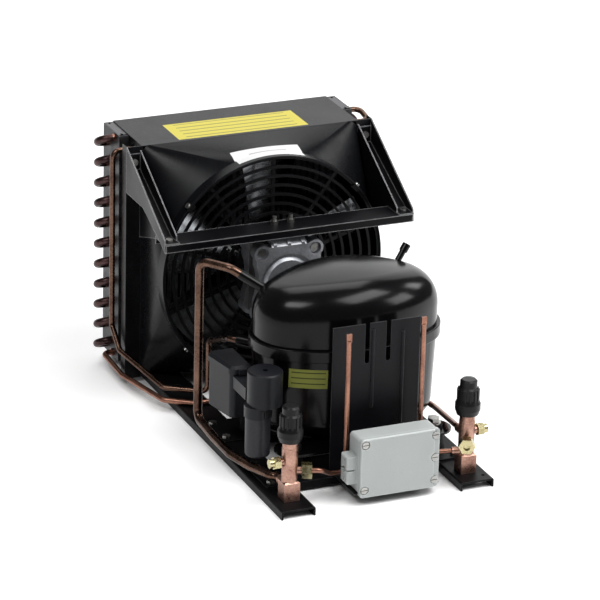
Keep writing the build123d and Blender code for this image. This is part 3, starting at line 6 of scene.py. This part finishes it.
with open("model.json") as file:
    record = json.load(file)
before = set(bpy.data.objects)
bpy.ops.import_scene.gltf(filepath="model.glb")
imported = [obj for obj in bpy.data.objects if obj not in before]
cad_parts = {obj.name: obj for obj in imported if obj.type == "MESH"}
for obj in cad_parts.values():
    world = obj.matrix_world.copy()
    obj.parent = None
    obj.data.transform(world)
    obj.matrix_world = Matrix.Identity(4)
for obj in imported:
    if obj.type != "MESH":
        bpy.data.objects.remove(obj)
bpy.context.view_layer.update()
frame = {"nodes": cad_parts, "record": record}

scene = bpy.context.scene
scene.view_settings.view_transform = "Standard"
nodes = frame["nodes"]
print("frame loaded:", len(nodes), "nodes")


def addNode(tree, kind, **settings):
    node = tree.nodes.new("ShaderNode" + kind)
    for key, value in settings.items():
        setattr(node, key, value)
    return node


def feed(tree, node, values):
    # a value is another node's socket or a plain number
    for socket, value in zip(node.inputs, values):
        if isinstance(value, bpy.types.NodeSocket):
            tree.links.new(value, socket)
        else:
            socket.default_value = value


def number(tree, operation, *values, clamp=False):
    node = addNode(tree, "Math", operation=operation, use_clamp=clamp)
    feed(tree, node, values)
    return node.outputs["Value"]


def vector(tree, operation, *values):
    node = addNode(tree, "VectorMath", operation=operation)
    feed(tree, node, values)
    return node.outputs["Value" if operation in ("DOT_PRODUCT", "LENGTH") else "Vector"]


def spread(tree, source, start, end):
    # 0 where the source is at start and 1 where it is at end
    node = addNode(tree, "MapRange")
    node.inputs["From Min"].default_value = start
    node.inputs["From Max"].default_value = end
    tree.links.new(source, node.inputs["Value"])
    return node


mixSockets = {"FLOAT": (2, 3, 0), "RGBA": (6, 7, 2)}  # first input, second input and output


def addMix(tree, share, kind="FLOAT"):
    node = addNode(tree, "Mix", data_type=kind)
    tree.links.new(share, node.inputs[0])
    first, second, result = mixSockets[kind]
    return node.inputs[first], node.inputs[second], node.outputs[result]


def objectPlace(tree):
    return addNode(tree, "TexCoord").outputs["Object"]


def addNoise(tree, place, detail):
    node = addNode(tree, "TexNoise")
    node.inputs["Detail"].default_value = detail
    tree.links.new(place, node.inputs["Vector"])
    return node


def newGroup(name, inputs, outputs):
    group = bpy.data.node_groups.new(name, "ShaderNodeTree")
    for label, kind, value in inputs:
        socket = group.interface.new_socket(label, in_out="INPUT", socket_type="NodeSocket" + kind)
        socket.default_value = value
    for label in outputs:
        group.interface.new_socket(label, in_out="OUTPUT", socket_type="NodeSocketFloat")
    return group, group.nodes.new("NodeGroupInput").outputs, group.nodes.new("NodeGroupOutput").inputs


def useGroup(tree, group, values):
    node = addNode(tree, "Group", node_tree=group)
    for key, value in values.items():
        node.inputs[key].default_value = value
    return node.outputs


mottleShape = {"patchScale": 18.0, "patchDetail": 5, "speckScale": 420.0, "speckDetail": 2,
               "speckShare": 0.35, "darkAt": 0.36, "lightAt": 0.64, "bump": 0.15, "bumpDepth": 0.0002}


def makeMottle():
    # slow patches and fine specks, as handled metal and moulded plastic show
    group, given, out = newGroup(
        "mottle",
        [("Patch Scale", "Float", mottleShape["patchScale"]),
         ("Speck Scale", "Float", mottleShape["speckScale"]),
         ("Speck Share", "Float", mottleShape["speckShare"])],
        ["Value"])
    link = group.links.new
    place = objectPlace(group)
    patches = addNoise(group, place, mottleShape["patchDetail"])
    specks = addNoise(group, place, mottleShape["speckDetail"])
    slow, fine, value = addMix(group, given["Speck Share"])
    link(given["Patch Scale"], patches.inputs["Scale"])
    link(given["Speck Scale"], specks.inputs["Scale"])
    link(patches.outputs["Fac"], slow)
    link(specks.outputs["Fac"], fine)
    link(value, out["Value"])
    return group


wearAndHighlightShape = {"radius": 0.0008, "samples": 4, "turnStart": 0.999, "turnEnd": 0.93, "breakUp": 0.5,
             "noiseScale": 90, "noiseDetail": 4, "raggedStart": 0.35, "raggedEnd": 0.6}


def makeEdgeWearAndHighlight():
    # 1 where a rounded normal leaves the face's own normal, broken up by noise; it lays worn edges, and on
    # some looks a painted highlight along the edges
    group, given, out = newGroup(
        "edgeWearAndHighlight",
        [("Radius", "Float", wearAndHighlightShape["radius"]), ("Amount", "Float", 1.0),
         ("Break Up", "Float", wearAndHighlightShape["breakUp"])],
        ["Mask"])
    link = group.links.new
    rounded = addNode(group, "Bevel", samples=wearAndHighlightShape["samples"])
    own = addNode(group, "NewGeometry")
    agreement = vector(group, "DOT_PRODUCT", rounded.outputs["Normal"], own.outputs["Normal"])
    edge = spread(group, agreement, wearAndHighlightShape["turnStart"], wearAndHighlightShape["turnEnd"])
    noise = addNoise(group, objectPlace(group), wearAndHighlightShape["noiseDetail"])
    noise.inputs["Scale"].default_value = wearAndHighlightShape["noiseScale"]
    ragged = spread(group, noise.outputs["Fac"], wearAndHighlightShape["raggedStart"], wearAndHighlightShape["raggedEnd"])
    whole, broken, kept = addMix(group, given["Break Up"])
    whole.default_value = 1.0
    wornAndHighlit = number(group, "MULTIPLY", edge.outputs["Result"], kept)
    link(given["Radius"], rounded.inputs["Radius"])
    link(ragged.outputs["Result"], broken)
    link(number(group, "MULTIPLY", wornAndHighlit, given["Amount"], clamp=True), out["Mask"])
    return group


# printed films stuck on painted metal: a box of object coordinates, a bare colour and plain ruled lines
filmShape = {"roughness": 0.45, "lineShare": 0.22}
plates = {
    "hoodTop": {
        "finish": "hoodPlated", "middle": (-0.006, 0.1865, 0.290), "half": (0.080, 0.0265, 0.0006),
        "lineAxis": (0, 1, 0), "pitch": 0.0105, "margin": 0.86,
        "colour": (0.66, 0.58, 0.10), "ink": (0.30, 0.27, 0.08)},
    "hoodArc": {
        "finish": "hoodPlated", "middle": (-0.0015, 0.101, 0.287), "half": (0.0415, 0.0125, 0.0075),
        "lineAxis": (0, 1, 0), "pitch": 0.009, "margin": 0.55,
        "colour": (0.80, 0.80, 0.80), "ink": (0.42, 0.42, 0.42)},
    "shellSide": {
        "finish": "shellPlated", "middle": (-0.054, -0.160, 0.1135), "half": (0.019, 0.035, 0.0112),
        "lineAxis": (0, 0, 1), "pitch": 0.0065, "margin": 0.88,
        "colour": (0.26, 0.28, 0.055), "ink": (0.06, 0.06, 0.02)},
}


def makePlateMask():
    # Mask is 1 inside the box, and Ink is 1 on lines that repeat along an axis, short of the box's edge
    group, given, out = newGroup(
        "plateMask",
        [("Middle", "Vector", (0, 0, 0)), ("Half", "Vector", (1, 1, 1)), ("Line Axis", "Vector", (0, 1, 0)),
         ("Line Pitch", "Float", 0.01), ("Margin", "Float", 0.9)],
        ["Mask", "Ink"])
    link = group.links.new
    away = vector(group, "SUBTRACT", objectPlace(group), given["Middle"])
    share = vector(group, "ABSOLUTE", vector(group, "DIVIDE", away, given["Half"]))
    split = addNode(group, "SeparateXYZ")
    link(share, split.inputs["Vector"])
    across = number(group, "MAXIMUM", split.outputs["X"], split.outputs["Y"])
    farthest = number(group, "MAXIMUM", across, split.outputs["Z"])
    inMargin = number(group, "LESS_THAN", farthest, given["Margin"])
    along = vector(group, "DOT_PRODUCT", away, given["Line Axis"])
    phase = number(group, "FRACT", number(group, "DIVIDE", along, given["Line Pitch"]))
    line = number(group, "LESS_THAN", phase, filmShape["lineShare"])
    link(number(group, "LESS_THAN", farthest, 1.0), out["Mask"])
    link(number(group, "MULTIPLY", line, inMargin), out["Ink"])
    return group


mottle = makeMottle()
edgeWearAndHighlight = makeEdgeWearAndHighlight()
plateMask = makePlateMask()
print("shared effects made")


def newFinish(name, roughness, metallic=0.0, specular=0.5, tint=1.0):
    finish = bpy.data.materials.new(name)
    finish.use_nodes = True
    tree = finish.node_tree
    shader = tree.nodes["Principled BSDF"]
    shader.inputs["Roughness"].default_value = roughness
    shader.inputs["Metallic"].default_value = metallic
    shader.inputs["Specular IOR Level"].default_value = specular
    shader.inputs["Specular Tint"].default_value = (tint, tint, tint, 1)
    return finish, tree, shader


def grey(value):
    return (value, value, value)


def ramp(tree, source, dark, light):
    node = addNode(tree, "ValToRGB")
    tree.links.new(source, node.inputs["Fac"])
    stops = ((mottleShape["darkAt"], dark), (mottleShape["lightAt"], light))
    for element, (place, colour) in zip(node.color_ramp.elements, stops):
        element.position = place
        element.color = (*colour, 1)
    return node.outputs["Color"]


def plainFinish(name, look):
    # mottled colour and roughness, a fine bump, and worn edges, some of them painted edge highlights, where
    # the look asks for them
    smoothest, roughest = look["roughness"]
    asked = {key: look[key] for key in ("metallic", "specular", "tint") if key in look}
    finish, tree, shader = newFinish(name, roughest, **asked)
    link = tree.links.new
    patches = useGroup(tree, mottle, {
        "Patch Scale": look.get("patches", mottleShape["patchScale"]),
        "Speck Scale": look.get("specks", mottleShape["speckScale"]),
        "Speck Share": look.get("speckShare", mottleShape["speckShare"])})
    colour = ramp(tree, patches["Value"], look["dark"], look["light"])
    roughness = ramp(tree, patches["Value"], grey(smoothest), grey(roughest))
    if "wearAndHighlightAmount" in look:
        edges = useGroup(tree, edgeWearAndHighlight, {
            "Radius": look.get("wearAndHighlightRadius", wearAndHighlightShape["radius"]),
            "Amount": look["wearAndHighlightAmount"],
            "Break Up": look.get("breakUp", wearAndHighlightShape["breakUp"])})
        sound, wornAndHighlit, mixed = addMix(tree, edges["Mask"], "RGBA")
        link(colour, sound)
        wornAndHighlit.default_value = (*look["wornAndHighlit"], 1)
        colour = mixed
    link(colour, shader.inputs["Base Color"])
    link(roughness, shader.inputs["Roughness"])
    bump = addNode(tree, "Bump")
    bump.inputs["Strength"].default_value = look.get("bump", mottleShape["bump"])
    bump.inputs["Distance"].default_value = mottleShape["bumpDepth"]
    link(patches["Value"], bump.inputs["Height"])
    link(bump.outputs["Normal"], shader.inputs["Normal"])
    return finish


def layFilm(tree, socket, mask):
    # mixes the film over what feeds the socket, and gives back the input that takes the film's value
    under, film, mixed = addMix(tree, mask, "RGBA")
    tree.links.new(socket.links[0].from_socket, under)
    tree.links.new(mixed, socket)
    return film


def addPlate(finish, plate):
    tree = finish.node_tree
    shader = tree.nodes["Principled BSDF"]
    area = useGroup(tree, plateMask, {
        "Middle": plate["middle"], "Half": plate["half"], "Line Axis": plate["lineAxis"],
        "Line Pitch": plate["pitch"], "Margin": plate["margin"]})
    bare, ink, printed = addMix(tree, area["Ink"], "RGBA")
    bare.default_value = (*plate["colour"], 1)
    ink.default_value = (*plate["ink"], 1)
    tree.links.new(printed, layFilm(tree, shader.inputs["Base Color"], area["Mask"]))
    filmRoughness = layFilm(tree, shader.inputs["Roughness"], area["Mask"])
    filmRoughness.default_value = (*grey(filmShape["roughness"]), 1)


looks = {
    # paint and enamel
    "blackPaint": {
        "dark": (0.004, 0.004, 0.005), "light": (0.008, 0.008, 0.010), "roughness": (0.3, 0.42),
        "tint": 0.3, "wearAndHighlightAmount": 0.6, "wornAndHighlit": (0.10, 0.10, 0.11), "specks": 900.0},
    "railPaint": {
        "dark": (0.003, 0.003, 0.0035), "light": (0.006, 0.006, 0.007), "roughness": (0.45, 0.6),
        "tint": 0.12, "wearAndHighlightAmount": 0.7, "wornAndHighlit": (0.09, 0.09, 0.095), "specks": 900.0},
    # the pale edge colour is a painted highlight along the arm and bar edges, on top of wear
    "armPaint": {
        "dark": (0.003, 0.003, 0.004), "light": (0.006, 0.006, 0.007), "roughness": (0.3, 0.42),
        "tint": 0.16, "wearAndHighlightAmount": 1.0, "wornAndHighlit": (0.42, 0.42, 0.43), "wearAndHighlightRadius": 0.0016, "breakUp": 0.35,
        "specks": 900.0},
    "hoodPlated": {
        "dark": (0.003, 0.003, 0.004), "light": (0.006, 0.0065, 0.0075), "roughness": (0.22, 0.32),
        "specular": 0.13, "tint": 0.85, "wearAndHighlightAmount": 0.4, "wornAndHighlit": (0.08, 0.08, 0.09), "specks": 1100.0},
    "shellEnamel": {
        "dark": (0.002, 0.002, 0.0025), "light": (0.0035, 0.0035, 0.004), "roughness": (0.14, 0.22),
        "tint": 0.34, "patches": 9.0, "specks": 700.0, "bump": 0.04},
    "guardCoating": {
        "dark": (0.003, 0.003, 0.0035), "light": (0.006, 0.006, 0.007), "roughness": (0.35, 0.5),
        "tint": 0.2},
    # steel, iron and aluminium
    "zincSteel": {
        "dark": (0.30, 0.30, 0.29), "light": (0.52, 0.51, 0.48), "roughness": (0.25, 0.45),
        "metallic": 1.0, "wearAndHighlightAmount": 0.4, "wornAndHighlit": (0.8, 0.8, 0.78)},
    "galvanised": {
        "dark": (0.03, 0.03, 0.032), "light": (0.09, 0.09, 0.095), "roughness": (0.35, 0.6),
        "metallic": 0.8, "patches": 60.0},
    "lamination": {
        "dark": (0.04, 0.04, 0.04), "light": (0.10, 0.10, 0.10), "roughness": (0.4, 0.6),
        "metallic": 0.8},
    "castIron": {
        "dark": (0.12, 0.12, 0.12), "light": (0.22, 0.22, 0.22), "roughness": (0.5, 0.7),
        "metallic": 0.6},
    "castAluminium": {
        "dark": (0.26, 0.27, 0.29), "light": (0.46, 0.47, 0.5), "roughness": (0.34, 0.5),
        "metallic": 0.9, "wearAndHighlightAmount": 0.7, "wornAndHighlit": (0.75, 0.76, 0.78), "bump": 0.3},
    # the blade colour is painted shade: far darker than bare aluminium, for the dark the blades mirror
    # inside the hood
    "fanAluminiumPaintedShade": {
        "dark": (0.11, 0.115, 0.12), "light": (0.18, 0.185, 0.195), "roughness": (0.2, 0.28),
        "metallic": 1.0},
    "finAluminium": {
        "dark": (0.08, 0.08, 0.085), "light": (0.16, 0.16, 0.165), "roughness": (0.35, 0.55),
        "metallic": 0.8},
    # copper and brass
    "copper": {
        "dark": (0.15, 0.065, 0.045), "light": (0.40, 0.20, 0.14), "roughness": (0.24, 0.42),
        "metallic": 1.0, "patches": 30.0},
    "dullCopper": {
        "dark": (0.05, 0.027, 0.02), "light": (0.18, 0.105, 0.075), "roughness": (0.2, 0.34),
        "metallic": 1.0, "patches": 30.0},
    "oldCopper": {
        "dark": (0.022, 0.014, 0.015), "light": (0.10, 0.058, 0.055), "roughness": (0.28, 0.46),
        "metallic": 1.0, "patches": 40.0},
    "brass": {
        "dark": (0.36, 0.31, 0.16), "light": (0.68, 0.61, 0.36), "roughness": (0.2, 0.36),
        "metallic": 1.0, "patches": 60.0, "wearAndHighlightAmount": 0.5, "wornAndHighlit": (0.9, 0.8, 0.5)},
    "forgedBrass": {
        "dark": (0.26, 0.135, 0.10), "light": (0.54, 0.32, 0.25), "roughness": (0.26, 0.42),
        "metallic": 0.9, "patches": 70.0, "bump": 0.3, "wearAndHighlightAmount": 0.5, "wornAndHighlit": (0.8, 0.55, 0.44)},
    # rubber and plastic
    "rubber": {
        "dark": (0.004, 0.004, 0.004), "light": (0.010, 0.010, 0.010), "roughness": (0.6, 0.8),
        "specular": 0.25},
    "blackPlastic": {
        "dark": (0.010, 0.0105, 0.013), "light": (0.017, 0.018, 0.022), "roughness": (0.34, 0.46),
        "tint": 0.35, "specks": 1500.0},
    "capPlastic": {
        "dark": (0.004, 0.004, 0.005), "light": (0.008, 0.008, 0.009), "roughness": (0.3, 0.42),
        "tint": 0.4, "specks": 1500.0},
    # the pale edge colour is a painted highlight along the box's rims, on top of wear
    "greyPlastic": {
        "dark": (0.46, 0.49, 0.48), "light": (0.53, 0.565, 0.555), "roughness": (0.3, 0.42),
        "specks": 1800.0, "speckShare": 0.6, "bump": 0.1, "specular": 0.4, "wearAndHighlightAmount": 0.9,
        "wornAndHighlit": (0.72, 0.76, 0.75), "wearAndHighlightRadius": 0.0018, "breakUp": 0.3},
    "greySleeve": {
        "dark": (0.018, 0.018, 0.022), "light": (0.028, 0.028, 0.034), "roughness": (0.3, 0.42),
        "specular": 0.3},
    "whitePlastic": {
        "dark": (0.66, 0.65, 0.6), "light": (0.75, 0.74, 0.7), "roughness": (0.4, 0.5)},
}
finishes = {name: plainFinish(name, look) for name, look in looks.items()}
finishes["shellPlated"] = plainFinish("shellPlated", looks["shellEnamel"])
for plate in plates.values():
    addPlate(finishes[plate["finish"]], plate)
print("finishes made:", len(finishes))

slotFinish = {
    "black_paint": "blackPaint", "gloss_black": "shellEnamel", "grey_black_paint": "hoodPlated",
    "guard_coating": "guardCoating", "zinc_steel": "zincSteel", "galvanised": "galvanised",
    "lamination": "lamination", "cast_iron": "castIron", "cast_aluminium": "castAluminium",
    "fan_aluminium": "fanAluminiumPaintedShade", "fin_aluminium": "finAluminium", "copper": "copper",
    "brass": "brass", "valve_bronze": "forgedBrass", "rubber": "rubber", "dark_plastic": "blackPlastic",
    "grey_plastic": "greyPlastic", "grey_sleeve": "greySleeve", "white_plastic": "whitePlastic",
}
# nodes that don't look as the rest of their slot does
nodeFinish = {
    "left_base_rail": "railPaint", "right_base_rail": "railPaint",
    "front_cross_member": "railPaint", "rear_cross_member": "railPaint",
    "left_arm": "armPaint", "right_arm": "armPaint", "motor_cross_bar": "armPaint",
    "compressor_lower_shell": "shellPlated", "return_bends": "oldCopper",
    "discharge_line": "dullCopper", "suction_line": "dullCopper",
    "suction_valve_cap": "capPlastic", "liquid_valve_cap": "capPlastic",
}
for row in frame["record"]["subparts"]:
    finish = nodeFinish.get(row["node"], slotFinish[row["material_slot"]])
    piece = nodes[row["node"]]
    piece.data.materials.clear()
    piece.data.materials.append(finishes[finish])
print("frame nodes finished")

# in metres and watts, and each lamp is its name, place, width, height and power
stage = {
    "floorSize": 60.0, "floorGlow": 0.45, "paleColour": (0.8, 0.8, 0.8), "paleRoughness": 0.9,
    "riseStart": 1.8, "riseEnd": 6.0,
    "shadeReach": 0.25, "shadeStart": 0.22, "shadeEnd": 0.5, "shadeSamples": 8,
    "backdrop": {"place": (2.2, 5.0, 3.0), "width": 7.0, "height": 6.0, "glow": 1.0},
    "world": 0.12, "aim": (0, 0, 0.15),
    "lamps": [
        ("key", (1.32, -1.58, 3.58), 2.8, 1.4, 105), ("fill", (3.15, -1.67, 1.97), 1.7, 1.2, 42),
        ("left", (-2.17, -1.16, 3.3), 1.3, 0.9, 42), ("right", (3.43, 0.48, 2.15), 0.8, 1.0, 14),
        ("ceiling", (0.45, 1.69, 3.75), 2.6, 2.0, 50)],
}


def seenDirectly(tree):
    # 1 for rays from the camera, and for those that metal reflects or glass lets through
    path = addNode(tree, "LightPath").outputs
    either = number(tree, "MAXIMUM", path["Is Camera Ray"], path["Is Glossy Ray"])
    return number(tree, "MAXIMUM", either, path["Is Transmission Ray"])


def paleFinish(name, glow):
    finish, tree, shader = newFinish(name, stage["paleRoughness"], specular=0.0)
    shader.inputs["Base Color"].default_value = (*stage["paleColour"], 1)
    shader.inputs["Emission Color"].default_value = (1, 1, 1, 1)
    # far from the lamps more of the white comes from the glow
    distance = vector(tree, "LENGTH", objectPlace(tree))
    level = spread(tree, distance, stage["riseStart"], stage["riseEnd"])
    level.inputs["To Min"].default_value = glow
    # the glow fades where the object closes the floor in, which paints shade on the floor under and beside
    # the object
    shadeOcclusion = addNode(tree, "AmbientOcclusion", samples=stage["shadeSamples"])
    shadeOcclusion.inputs["Distance"].default_value = stage["shadeReach"]
    glowOutsidePaintedShade = spread(tree, shadeOcclusion.outputs["AO"], stage["shadeStart"], stage["shadeEnd"])
    tree.links.new(level.outputs["Result"], glowOutsidePaintedShade.inputs["To Max"])
    strength = number(tree, "MULTIPLY", seenDirectly(tree), glowOutsidePaintedShade.outputs["Result"])
    tree.links.new(strength, shader.inputs["Emission Strength"])
    return finish


def makeFloor():
    bpy.ops.mesh.primitive_plane_add(size=stage["floorSize"], location=(0, 0, 0))
    floor = bpy.context.object
    floor.name = "floor"
    floor.data.materials.append(paleFinish("floorPale", stage["floorGlow"]))


def makeBackdrop():
    # a pale wall well behind the object, which the top faces reflect
    wall = stage["backdrop"]
    x, y, z = wall["place"]
    bpy.ops.mesh.primitive_plane_add(size=1, location=(x, y, z))
    backdrop = bpy.context.object
    backdrop.name = "backdrop"
    backdrop.scale = (wall["width"], wall["height"], 1)
    backdrop.rotation_euler = (radians(90), 0, -atan2(x, y))
    backdrop.data.materials.append(paleFinish("backdropPale", wall["glow"]))


def aimAt(thing, target):
    thing.rotation_mode = "QUATERNION"
    thing.rotation_quaternion = (Vector(target) - thing.location).to_track_quat("-Z", "Y")


def makeLights():
    for name, place, width, height, power in stage["lamps"]:
        data = bpy.data.lights.new(name + "Lamp", "AREA")
        data.shape = "RECTANGLE"
        data.size = width
        data.size_y = height
        data.energy = power
        lamp = bpy.data.objects.new(name + "Lamp", data)
        scene.collection.objects.link(lamp)
        lamp.location = place
        aimAt(lamp, stage["aim"])
    world = bpy.data.worlds.new("studio")
    scene.world = world
    world.use_nodes = True
    background = world.node_tree.nodes["Background"]
    background.inputs["Color"].default_value = (1, 1, 1, 1)
    background.inputs["Strength"].default_value = stage["world"]


cameraView = {"place": (-1.5595, -3.5298, 1.6949), "target": (-0.0228, -0.048, 0.1641), "roll": 1.484,
              "lens": 222.33, "sensor": 36.0, "clipEnd": 200.0}


def makeCamera():
    data = bpy.data.cameras.new("studioCamera")
    data.sensor_fit = "HORIZONTAL"
    data.sensor_width = cameraView["sensor"]
    data.lens = cameraView["lens"]
    data.clip_end = cameraView["clipEnd"]
    camera = bpy.data.objects.new("studioCamera", data)
    scene.collection.objects.link(camera)
    camera.location = cameraView["place"]
    aimAt(camera, cameraView["target"])
    roll = Quaternion((0, 0, 1), radians(cameraView["roll"]))
    camera.rotation_quaternion = camera.rotation_quaternion @ roll
    scene.camera = camera


makeFloor()
makeBackdrop()
makeLights()
makeCamera()
print("stage set")
